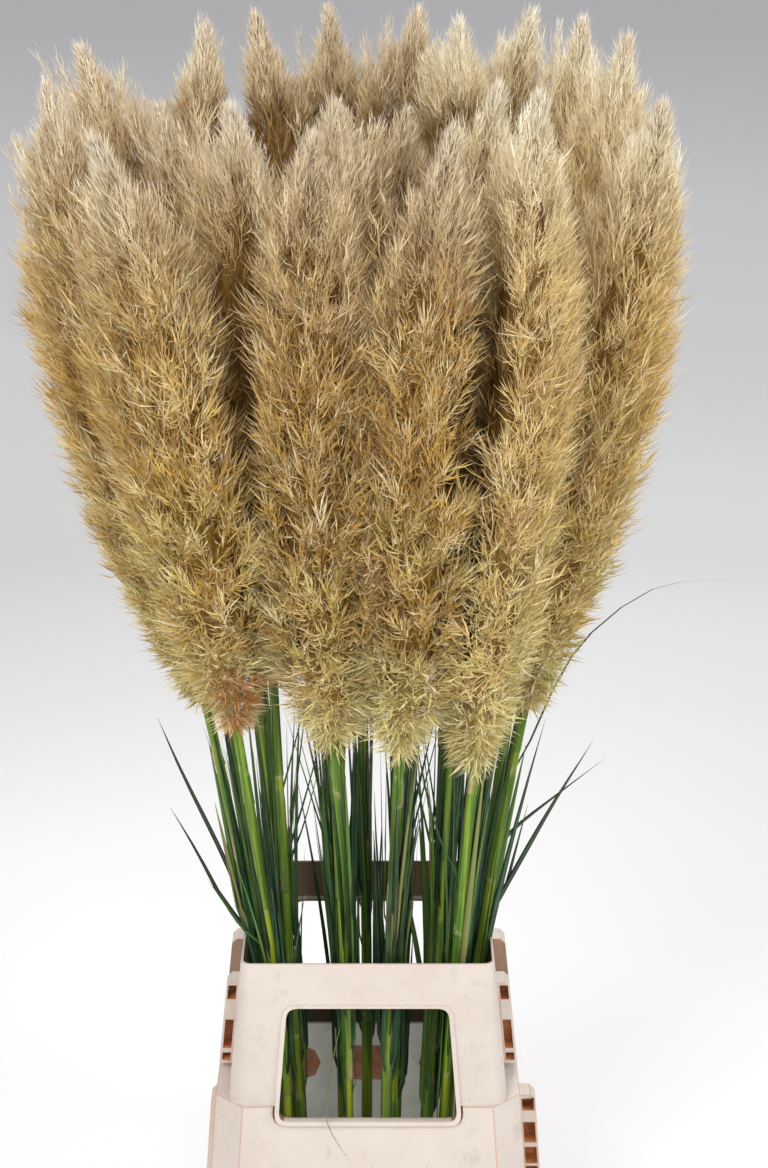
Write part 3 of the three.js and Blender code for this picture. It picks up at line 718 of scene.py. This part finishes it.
def branch_lines(index, draw, count):
    """The outer parts of a plume's branches: points and attributes."""
    _, tip, base = STEMS[index]
    *candidates, worth = branch_candidates(index, draw)
    chosen = np.sort(draw.choice(CANDIDATES, count, replace=False, p=worth / worth.sum()))
    share, turn, height, rise, clipped, openness = [values[chosen] for values in candidates]
    rise = rise * np.clip(openness, 0.6, 1)
    swerve = draw.normal(0, 0.35, count)
    start = np.interp(share, *BRANCH_START)
    tuft = np.repeat(draw.random(count), BRANCH_POINTS)
    points, depth, heights = [], [], []
    for step in range(BRANCH_POINTS):
        at = start + (1 - start) * step / (BRANCH_POINTS - 1)
        z = height + rise * at ** 1.45
        angle = turn + swerve * (at - 0.7)
        centre = plume_middle(index, z)
        out = held_back(clipped * at ** 0.6, angle, centre)
        centre[:, :2] += compass(angle) * out[:, None]
        points.append(centre)
        # Depth sets painted shade: lower towards a branch's root and where a neighbour crowds it.
        depth.append((1 - (1 - at) * np.interp(share, *BRANCH_SHADE)) * openness ** 1.3)
        heights.append((z - base) / (tip[2] - base))
    points, depth, heights = (np.stack(rows, axis=1) for rows in (points, depth, heights))
    aim = np.gradient(points, axis=1)
    aim /= np.linalg.norm(aim, axis=2, keepdims=True)
    size = (0.6 + 0.4 * openness[:, None]) * np.interp(heights, *HAIR_LENGTH)
    heading = np.column_stack([compass(turn), np.full(count, 0.2)])
    return (points.reshape(-1, 3), depth.ravel(), heights.ravel(), aim.reshape(-1, 3), size.ravel(),
            np.repeat(heading, BRANCH_POINTS, axis=0), tuft)


def plume_core(index, draw, warmth):
    """The dense inner part of a plume, painted dark as shade where it shows between the hairs."""
    _, tip, base = STEMS[index]
    share = np.linspace(0.004, 0.985, CORE_ROWS)
    height = base + FIRST_BRANCH + share * (tip[2] - base - FIRST_BRANCH)
    points, fibre, outward = [], [], []
    for row in range(CORE_ROWS):
        heading = compass((np.arange(CORE_SIDES) + 0.5 * (row % 2)) / CORE_SIDES * math.tau)
        level = np.full(CORE_SIDES, height[row])
        reach = hair_reach(share[row]) * tucked(index, share[row], heading)
        radius = np.minimum(reach, free_reach(index, level, heading))
        radius = radius * np.interp(share[row], *CORE_FILL) * draw.uniform(0.88, 1.12, CORE_SIDES)
        centre = plume_middle(index, level)
        centre[:, :2] += heading * radius[:, None]
        points.append(centre)
        outward.append(np.column_stack([heading, np.zeros(CORE_SIDES)]))
        fibre.append(np.column_stack([heading * 0.06, level * 0.00016]))
    faces = []
    for row, a, b, c, d in tube_cells(CORE_ROWS, CORE_SIDES):
        faces += [(a, b, d), (a, d, c)] if row % 2 else [(a, b, c), (b, d, c)]
    faces += tube_ends(CORE_ROWS, CORE_SIDES)
    count = CORE_ROWS * CORE_SIDES
    depth = np.interp(share, *CORE_DEPTH)
    return mesh_object(
        "core", np.concatenate(points), faces=faces, height=np.repeat(share, CORE_SIDES),
        depth=np.repeat(depth, CORE_SIDES), tone=draw.random(count) * 0.6,
        reach=np.zeros(count), fibre=np.concatenate(fibre), tuft=np.full(count, 0.3),
        warmth=np.full(count, warmth), heading=np.concatenate(outward))


def make_plume(index, count, tree, pattern, finish):
    draw = np.random.default_rng(PLUME_SEED + index)
    warmth = BUNCH_WARMTH[bunch_of(index)] + draw.uniform(-WARMTH_SCATTER, WARMTH_SCATTER)
    points, depth, heights, aim, size, heading, tuft = branch_lines(index, draw, count)
    # Painted shade: on these plumes the hairs facing the middle turn darker and redder below the
    # crest.
    hollow = smoothstep(-heading[:, 1], 0.0, 0.6) * (index in SHADY_PLUMES)
    hollow = hollow * (1 - smoothstep(heights, 0.80, 0.89))
    russet = smoothstep(heading @ RUSSET_SIDE, 0.5, 0.95) * (index == RUSSET_PLUME)
    russet = RUSSET * russet * (1 - smoothstep(heights, 0.06, 0.17))
    # Painted light on the middle bunch's shaded feet; added warmth on the other bunches' feet.
    foot = FOOT_WARMTH[bunch_of(index)] * (1 - smoothstep(heights, 0.02, 0.22))
    lines = mesh_object(
        "branches", points, run=BRANCH_POINTS, depth=depth * (1 - 0.5 * hollow), height=heights,
        aim=aim, size=size, girth=np.interp(heights, *HAIR_GIRTH), heading=heading, tuft=tuft,
        warmth=warmth + foot + russet + 0.5 * hollow, fibre=points * MM)
    core = plume_core(index, draw, warmth)
    piece = run_tree(lines, tree, f"plume_hairs_{index + 1:02d}", Spikelet=pattern, Core=core,
                     Step=HAIR_STEP * MM, Splay=HAIR_SPLAY, Seed=index * 50, Finish=finish)
    bpy.data.objects.remove(core)
    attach(piece, "root")
    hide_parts(f"plume_{index + 1:02d}")


# ---- Culms and leaf blades ----

STEM_SEED, LEAF_SEED = 7300, 5200
CULM_SIDES, CULM_ROWS = 16, 22
CULM_TOP = 12.0  # into its plume
NODE_HEIGHTS, NODE_SCATTER = (150, 345, 560, 735), 45
SHEATH_LENGTHS = (120, 230)
SHEATH_SLANT = 34.0  # how much lower a sheath ends on its far side
NODE_RINGS = np.array([-3, -1, 1, 3, 6, 18, 32])  # above a node
SHEATH_RINGS = np.array([-30, -20, -10, -1, 1.5, 5])  # above a sheath's end
TEAR_WIDTH = math.sqrt(0.3)  # radians
STRAW_STEMS = (7,)  # with a dry sheath at the heights below
STRAW_FROM, STRAW_TO = (505, 520), (570, 610)

BLADE_STEPS = 11
MAIN_LEAF_ROOTS = ((300, 400), (395, 500))  # each stem has a broad leaf from each of these
MAIN_LEAF_WIDTH = 7.0
WALL_ROOM = 138.0  # how far out a blade may stand inside the collar

# Blades that climb beside a stem: ranges of root height, climb, reach and width, and their sway.
SLIM_BLADES, SLIM_COUNT = ((300, 520), (180, 330), (2, 26), (2.6, 5), 0.5), 2
WIDE_BLADES, WIDE_COUNTS = ((230, 560), (200, 400), (-3, 22), (5, 11), 0.4), (10, 16, 12)

# Blades that reach out: stem, root height, width, if it is grey-green, then the way to the tip.
REACHING_BLADES = [
    (1, 505, 5.5, True, [(-168, -76, 600), (-214, -82, 710), (-241, -84, 780)]),
    (0, 500, 4.0, False, [(-146, -124, 535), (-170, -128, 575), (-186, -130, 600)]),
    (15, 510, 6.8, True, [(170, -66, 575), (215, -64, 662), (262, -62, 744)]),
    (16, 560, 6.5, True, [(176, 2, 606), (228, -8, 656), (280, -18, 704)]),
    (16, 640, 2.6, False, [(186, 8, 700), (226, 2, 800), (262, -2, 856), (320, -6, 905),
                           (376, -8, 922), (452, -10, 924)]),
    (6, 430, 6.0, False, [(-42, -146, 372), (-48, -162, 328), (-49, -174, 317), (-42, -183, 299),
                          (-20, -187, 262)]),
]

# Thin blades that cross in the gaps between the bunches: stem, root height, width and the tip.
CROSSING_BLADES = [
    (4, 520, 3.4, (-38, -40, 800)), (4, 505, 2.8, (-62, 10, 850)), (2, 540, 3.6, (-44, -96, 770)),
    (2, 560, 2.6, (-66, -30, 830)), (5, 530, 3.0, (-58, 60, 820)), (8, 510, 3.2, (-96, -60, 780)),
    (6, 545, 3.8, (-84, -118, 800)), (10, 515, 2.8, (-100, 40, 840)),
    (8, 535, 2.6, (-74, -20, 860)),
    (9, 505, 3.4, (92, -60, 800)), (7, 540, 3.8, (70, -124, 760)), (9, 525, 2.8, (80, -10, 850)),
    (12, 510, 3.2, (98, 30, 820)), (14, 520, 3.6, (40, -84, 790)), (13, 545, 3.4, (58, -136, 740)),
    (14, 505, 2.6, (54, -30, 840)), (18, 530, 3.0, (36, 10, 830)), (12, 550, 2.6, (76, 74, 860)),
    (19, 515, 2.8, (44, 80, 850)), (7, 560, 2.6, (58, -100, 830)), (18, 500, 3.4, (62, -50, 730)),
]


def smooth_path(points):
    """Points along a Catmull-Rom curve."""
    points = np.asarray(points, float)
    padded = np.concatenate([[2 * points[0] - points[1]], points, [2 * points[-1] - points[-2]]])
    at = np.linspace(0, len(points) - 1, BLADE_STEPS)
    piece = np.minimum(at.astype(int), len(points) - 2)
    s = (at - piece)[:, None]
    a, b, c, d = (padded[piece + k] for k in range(4))
    return 0.5 * (2 * b + (c - a) * s + (2 * a - 5 * b + 4 * c - d) * s ** 2
                  + (3 * b - a - 3 * c + d) * s ** 3)


def climbing_path(index, root, climb, turn, reach, sway):
    """The way of a blade that turns a little round its stem."""
    share = np.array([0, 0.09, 0.3, 0.55, 0.8, 1])
    points = centre_at(index, root + climb * share)
    out = np.where(share > 0, 10 + reach * share ** 1.5, 0)
    points[:, :2] += compass(turn + sway * share) * out[:, None]
    return points


def inside_collar(line):
    """Holds a blade back from the collar's walls, less so above them."""
    room = WALL_ROOM + 0.8 * np.maximum(line[:, 2] - MOUTH_HEIGHT, 0)
    line[:, :2] = np.clip(line[:, :2], -room[:, None], room[:, None])
    return line


def climbing_blade(index, draw, highest, roots, climbs, reaches, widths, sway):
    """A random blade beside a stem: its way and its width."""
    root, climb = draw.uniform(*roots), draw.uniform(*climbs)
    climb = min(climb, highest - root)
    turn, swing = draw.uniform(0, math.tau), draw.normal(0, sway)
    path = climbing_path(index, root, climb, turn, draw.uniform(*reaches), swing)
    return path, draw.uniform(*widths)


def main_leaf(index, draw, roots):
    root, climb = draw.uniform(*roots), draw.uniform(235, 375)
    turn, reach = draw.uniform(0, math.tau), draw.uniform(14, 62)
    path = climbing_path(index, root, climb, turn, reach, draw.uniform(-0.7, 0.7))
    return path, MAIN_LEAF_WIDTH


def crossing_path(index, root, tip):
    """A slightly bowed way from a stem to a tip."""
    start, tip = centre_at(index, [root])[0], np.array(tip, float)
    way = tip - start
    lean = way * (1, 1, 0)
    path = [start, start + (0, 0, 60) + lean * 0.10, start + way * 0.5 - lean * 0.06, tip]
    return np.array(path)


def stem_blades(index, draw):
    """A stem's blades: lines, widths, and whether they are grey-green."""
    leaf_draw = np.random.default_rng(LEAF_SEED + index)
    into_plume = STEMS[index][2] + 20
    found = [main_leaf(index, leaf_draw, roots) for roots in MAIN_LEAF_ROOTS]
    for _ in range(SLIM_COUNT):
        found.append(climbing_blade(index, draw, math.inf, *SLIM_BLADES))
    for _ in range(WIDE_COUNTS[bunch_of(index)]):
        found.append(climbing_blade(index, draw, into_plume, *WIDE_BLADES))
    for stem, root, width, tip in CROSSING_BLADES:
        if stem == index:
            found.append((crossing_path(index, root, tip), width))
    lines = [(inside_collar(smooth_path(path)), width, False) for path, width in found]
    for stem, root, width, dusky, path in REACHING_BLADES:
        if stem == index:
            path = np.concatenate([centre_at(index, [root]), np.array(path, float)])
            lines.append((smooth_path(path), width, dusky))
    return lines


def blade_section():
    """A shallow V with a thicker midrib, one unit wide."""
    upper = [(-0.5, 0.085), (-0.25, 0.03), (0, -0.01), (0.25, 0.03), (0.5, 0.085)]
    lower = [(0.25, -0.035), (0, -0.095), (-0.25, -0.035)]
    outline = np.array([(x, y, 0) for x, y in upper + lower]) * 1000
    edges = [(i, (i + 1) % len(outline)) for i in range(len(outline))]
    return mesh_object("section", outline, edges=edges, across=outline[:, 0] / 500)


def blade_lines(index, draw):
    """A stem's blades as lines with attributes."""
    share = np.linspace(0, 1, BLADE_STEPS)
    taper = np.minimum(1, 0.62 + 2.4 * share) * np.clip((1 - share) * 1.9, 0.03, 1) ** 0.8
    rows = []
    for place, (line, width, dusky) in enumerate(stem_blades(index, draw)):
        out = (line[-1] - line[0]) * (1, 1, 0)
        out /= max(np.linalg.norm(out), 1e-6)
        side = np.array([-out[1], out[0], 0])
        twist = (draw.normal(0, 0.5) * share)[:, None]
        tone = draw.random() * (0.1 if dusky else 1)
        fibre = np.zeros_like(line)
        fibre[:, 0] = place * BLADE_STEPS * 0.37
        fibre[:, 2] = line[:, 2] * 0.00002
        rows.append((line, width * MM * taper, out * np.cos(twist) + side * np.sin(twist), share,
                     np.full(BLADE_STEPS, tone), fibre))
    points, width, facing, along, tone, fibre = (np.concatenate(parts) for parts in zip(*rows))
    return mesh_object("blades", points, run=BLADE_STEPS, width=width, facing=facing,
                       along=along, tone=tone, fibre=fibre)


def culm_rings(index, draw):
    """The heights of a culm's rings, of its nodes and of the ends of its sheaths."""
    base = STEMS[index][2]
    nodes = np.array(NODE_HEIGHTS) + draw.uniform(-NODE_SCATTER, NODE_SCATTER, len(NODE_HEIGHTS))
    nodes = nodes[nodes < base - 30]
    ends = nodes + draw.uniform(*SHEATH_LENGTHS, len(nodes))
    heights = set(np.linspace(FOOT_HEIGHT, base + CULM_TOP, CULM_ROWS))
    for node, end in zip(nodes, ends):
        heights.update(node + NODE_RINGS)
        heights.update(end + SHEATH_RINGS)
    heights = [z for z in sorted(heights) if FOOT_HEIGHT <= z <= base + CULM_TOP]
    return np.array(heights), nodes, ends


def make_culm(index, draw, finish):
    """One culm: a tapering tube with a leaf sheath wrapped above each node."""
    heights, nodes, ends = culm_rings(index, draw)
    base = STEMS[index][2]
    level = heights[:, None]
    angle = np.arange(CULM_SIDES) / CULM_SIDES * math.tau
    radius = np.interp(level, [FOOT_HEIGHT, base], [FOOT_RADIUS, NECK_RADIUS + 0.5])
    radius = radius * np.ones(CULM_SIDES)
    sheath, pale, dry = (np.zeros_like(radius) for _ in range(3))
    for node, end in zip(nodes, ends):
        seam = draw.uniform(0, math.tau)
        wrap = ((angle - seam) % math.tau) / math.tau
        top = end - SHEATH_SLANT * wrap
        on = smoothstep(level, node - 0.5, node + 1.5) * (1 - smoothstep(level, top, top + 1.6))
        sheath = np.maximum(sheath, on)
        radius += on * (0.3 + 0.75 * (1 - wrap))
        radius += 0.35 * bell(level - node - 3, 3.0) - 0.4 * bell(level - node, 1.5)
        around = np.cos(angle - draw.uniform(0, 6)) * 0.5 + 0.5
        edge = np.minimum(wrap, 1 - wrap) * radius * 6.28
        pale = np.maximum(pale, 0.55 * around ** 3 * bell(level - node - 1, 1.8))
        pale = np.maximum(pale, 0.35 * bell(level - top, 2.0))
        pale = np.maximum(pale, 0.3 * on * bell(edge, 1.2))
        torn = bell((angle - seam + math.pi) % math.tau - math.pi, TEAR_WIDTH)
        torn = torn * smoothstep(level, node, node + 4)
        dry = np.maximum(dry, torn * (1 - smoothstep(level, node + 15, node + 40)))
    if index in STRAW_STEMS:
        straw = smoothstep(level, *STRAW_FROM) * (1 - smoothstep(level, *STRAW_TO))
        dry = np.maximum(dry, straw * 0.75)
        pale = np.maximum(pale, dry * 0.25)
    points = np.repeat(centre_at(index, heights)[:, None, :], CULM_SIDES, axis=1)
    points[:, :, :2] += compass(angle) * radius[:, :, None]
    rows = len(heights)
    faces = [(a, b, d, c) for _, a, b, c, d in tube_cells(rows, CULM_SIDES)]
    fibre = np.zeros((rows, CULM_SIDES, 3))
    fibre[:, :, :2] = compass(angle) * 0.006 + (index * 0.31, 0)
    fibre[:, :, 2] = level * 0.00003
    culm = mesh_object(
        "culm", points.reshape(-1, 3), faces=faces + tube_ends(rows, CULM_SIDES),
        sheath=sheath.ravel(), pale=pale.ravel(), dry=dry.ravel(), fibre=fibre.reshape(-1, 3),
        tone=np.full(rows * CULM_SIDES, draw.random()))
    culm.data.shade_smooth()
    culm.data.materials.append(finish)
    return culm


def make_stem(index, tree, section, culm, blade):
    draw = np.random.default_rng(STEM_SEED + index)
    stalk = make_culm(index, draw, culm)
    lines = blade_lines(index, draw)
    blades = run_tree(lines, tree, "swept", Section=section, Finish=blade)
    piece = joined(f"green_stem_{index + 1:02d}", [stalk, blades])
    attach(piece, "root")
    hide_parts(f"stem_{index + 1:02d}")


# ---- Container ----

NOOK_REACH, NOOK_RAYS, NOOK_SEED = 42.0, 12, 61
NOOK_LIFT = 0.4  # rays start this far above a face
SMALL_FACE = 2e-5  # square metres: smaller ones send rays from the middle alone
EDGE_ROUND = 1.1
POCKETS_FROM = 160.0  # the bucket's faces that look inwards beyond this are in pockets, painted in full nook shade
LININGS = (  # the lining, painted with light and shade, its rim, painted dark as shade, and a painted glow for the light that comes through
    # Painted light: the bucket's lining is a pale grey, brighter than the cream outside, for its
    # dim inside; painted shade: the collar's lining and rim are brown.
    ("bucket", (0.84, 0.82, 0.79), (0.11, 0.075, 0.06), (0.105, 0.10, 0.097)),
    ("collar", (0.30, 0.19, 0.13), (0.27, 0.165, 0.11), (0, 0, 0)),
)


def nook_depths(mesh, draw):
    """How shut in each face is, by the short rays from it that are blocked."""
    vertices = [vertex.co.copy() for vertex in mesh.vertices]
    tree = BVHTree.FromPolygons(vertices, [tuple(face.vertices) for face in mesh.polygons])
    depths = []
    for face in mesh.polygons:
        spots = [face.center]
        if face.area >= SMALL_FACE:
            spots = [face.center.lerp(vertices[corner], 0.5) for corner in face.vertices[:6]]
        blocked = 0
        for spot in spots:
            for _ in range(NOOK_RAYS):
                aim = Vector(draw.normal(0, 1, 3)).normalized() + face.normal * 1.05
                start = spot + face.normal * NOOK_LIFT * MM
                blocked += tree.ray_cast(start, aim.normalized(), NOOK_REACH * MM)[0] is not None
        share = blocked / (len(spots) * NOOK_RAYS)
        depths.append(float(smoothstep(share, 0.35, 0.8)))
    return depths


def merged_copy(mesh):
    """A copy of a CAD mesh, its loose triangles made one closed shell."""
    copy = mesh.copy()
    copy.materials.clear()
    shape = bmesh.new()
    shape.from_mesh(copy)
    bmesh.ops.remove_doubles(shape, verts=shape.verts, dist=1e-6)
    bmesh.ops.dissolve_limit(
        shape, angle_limit=math.radians(0.5), verts=shape.verts, edges=shape.edges)
    bmesh.ops.triangulate(shape, faces=[face for face in shape.faces if len(face.verts) > 4])
    bmesh.ops.recalc_face_normals(shape, faces=shape.faces)
    shape.to_mesh(copy)
    shape.free()
    return copy


def softened_copy(node, name, plastic, edge, width):
    """A copy of a moulded CAD piece with its edges rounded over."""
    body = new_object(name + "_start", merged_copy(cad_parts[node].data))
    body.data.materials.append(plastic)
    body.data.materials.append(edge)
    bevel = body.modifiers.new("rounded_edges", "BEVEL")
    bevel.width, bevel.segments = width * MM, 2
    bevel.limit_method, bevel.angle_limit = "ANGLE", math.radians(38)
    # The rounded edges take the second material, with orange-brown painted shade.
    bevel.material = 1
    piece = plain_result(body, name)
    piece.data.shade_smooth()
    piece.data.set_sharp_from_angle(angle=math.radians(40))
    inner = [1.0 * (face.normal.xy.dot(face.center.xy.normalized()) < -0.25)
             for face in piece.data.polygons]
    depths = nook_depths(piece.data, np.random.default_rng(NOOK_SEED))
    # Painted shade: the inward faces out in the bucket's lugs take full nook shade.
    if node == "bucket":
        far = [max(map(abs, face.center.xy)) > POCKETS_FROM * MM for face in piece.data.polygons]
        depths = [max(depth, inward * out) for depth, inward, out in zip(depths, inner, far)]
    add_attribute(piece.data, "inner", inner, "FACE")
    add_attribute(piece.data, "nook", depths, "FACE")
    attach(piece, "root")
    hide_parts(node)


# ---- Studio ----

CAMERA_PLACE, CAMERA_DIP = (0.019, -2.8085, 1.806), 17.6  # degrees below level
SENSOR, FOCAL_SHARE = 36, 2530 / 1168  # focal length over the picture's height
FLOOR_RADIUS, FLOOR_SIDES = 200_000.0, 96
SKY, SKY_STRENGTH = (0.97, 0.97, 1), 0.6
LIGHTS = (  # place and target in metres, size, watts and colour
    ("key", (-1.9, -3.4, 3.9), (0, 0, 1), 2.4, 112, (1, 0.98, 0.95)),
    ("front", (0.35, -3.3, 2.1), (0, 0, 0.3), 0.7, 14, (1, 0.99, 0.97)),
    ("fill", (3.2, -2.6, 2.2), (0, 0, 0.9), 2.4, 55, (0.97, 0.98, 1)),
    ("back", (0.8, 3.2, 3.4), (0, 0, 1.1), 2.4, 75, (1, 0.98, 0.95)),
    ("backdrop", (0, 8.5, 6), (0, 8.5, 0), 6, 60, (1, 1, 1)),
)


def make_camera():
    camera = bpy.data.cameras.new("camera")
    camera.sensor_fit = "VERTICAL"
    camera.sensor_height = camera.sensor_width = SENSOR
    camera.lens = SENSOR * FOCAL_SHARE
    camera.clip_end = 400
    made = new_object("camera", camera)
    made.location = CAMERA_PLACE
    made.rotation_euler = (math.radians(90 - CAMERA_DIP), 0, 0)
    bpy.context.scene.camera = made


def add_light(name, place, target, size, power, colour):
    light = bpy.data.lights.new(name, "AREA")
    light.shape, light.size, light.energy, light.color = "DISK", size, power, colour
    made = new_object(name, light)
    made.location = place
    made.rotation_euler = (Vector(target) - Vector(place)).to_track_quat("-Z", "Y").to_euler()


def make_studio():
    rim = compass(np.arange(FLOOR_SIDES) / FLOOR_SIDES * math.tau) * FLOOR_RADIUS
    rim = np.column_stack([rim, np.zeros(FLOOR_SIDES)])
    floor = mesh_object("studio_floor", rim, faces=[tuple(range(FLOOR_SIDES))])
    floor.data.materials.append(floor_finish())
    for light in LIGHTS:
        add_light(*light)
    world = bpy.data.worlds.new("studio")
    world.use_nodes = True
    bpy.context.scene.world = world
    background = world.node_tree.nodes["Background"]
    background.inputs["Color"].default_value = (*SKY, 1.0)
    background.inputs["Strength"].default_value = SKY_STRENGTH
    bpy.context.scene.view_settings.view_transform = "Standard"


# ---- The whole part ----

make_camera()
make_studio()

for node, *colours in LININGS:
    faces = plastic_finish(f"{node}_plastic", *colours)
    # The same plastic with orange-brown painted shade, for the rounded edges.
    edges = plastic_finish(f"{node}_plastic_edge", *colours, edge=0.6)
    softened_copy(node, f"moulded_{node}", faces, edges, EDGE_ROUND)
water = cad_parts["water"]
water.data.materials.clear()
water.data.materials.append(water_finish())

blade_sweep, section = blade_tree(), blade_section()
culm_green, blade_green = culm_finish(), blade_finish()
for stem in range(len(STEMS)):
    make_stem(stem, blade_sweep, section, culm_green, blade_green)
bpy.data.objects.remove(section)

hair_tree, spikelet, straw = spikelet_tree(), spikelet_pattern(), plume_finish()
for stem, branch_count in enumerate(branch_counts()):
    make_plume(stem, branch_count, hair_tree, spikelet, straw)
bpy.data.objects.remove(spikelet)
